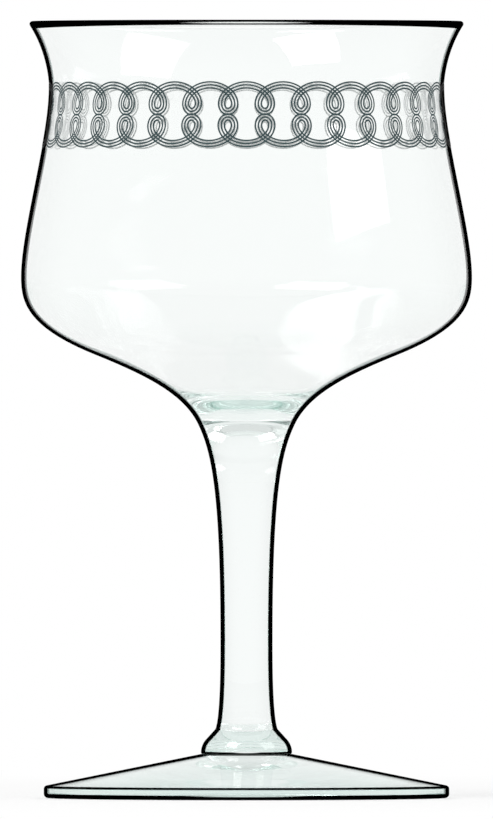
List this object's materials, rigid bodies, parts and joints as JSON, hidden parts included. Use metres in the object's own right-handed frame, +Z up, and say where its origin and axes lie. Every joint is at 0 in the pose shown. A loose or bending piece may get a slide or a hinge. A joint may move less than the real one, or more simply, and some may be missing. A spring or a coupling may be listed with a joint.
{
  "type": "water goblet",
  "caption": "Clear stemmed water goblet: a blown bowl with a flared lip and full belly, a solid drawn stem with a sloped button, and a shallow conical disc foot.",
  "frame": {"origin": "centre of the foot's rest ring, on the surface that the goblet stands on", "axes": "+Z up along the goblet's axis; it is round about Z, so X and Y are alike"},
  "size_m": [0.0902, 0.0902, 0.1554],
  "materials": {
    "clear_glass": "fire-polished clear glass with a faint grey-green cast where it is thick",
    "etched_glass": "needle-etched lines, matt slate grey, in the outside of the bowl below the lip"
  },
  "bodies": {
    "root": {"bowl": "clear_glass", "stem": "clear_glass", "foot": "clear_glass"}
  },
  "joints": []
}
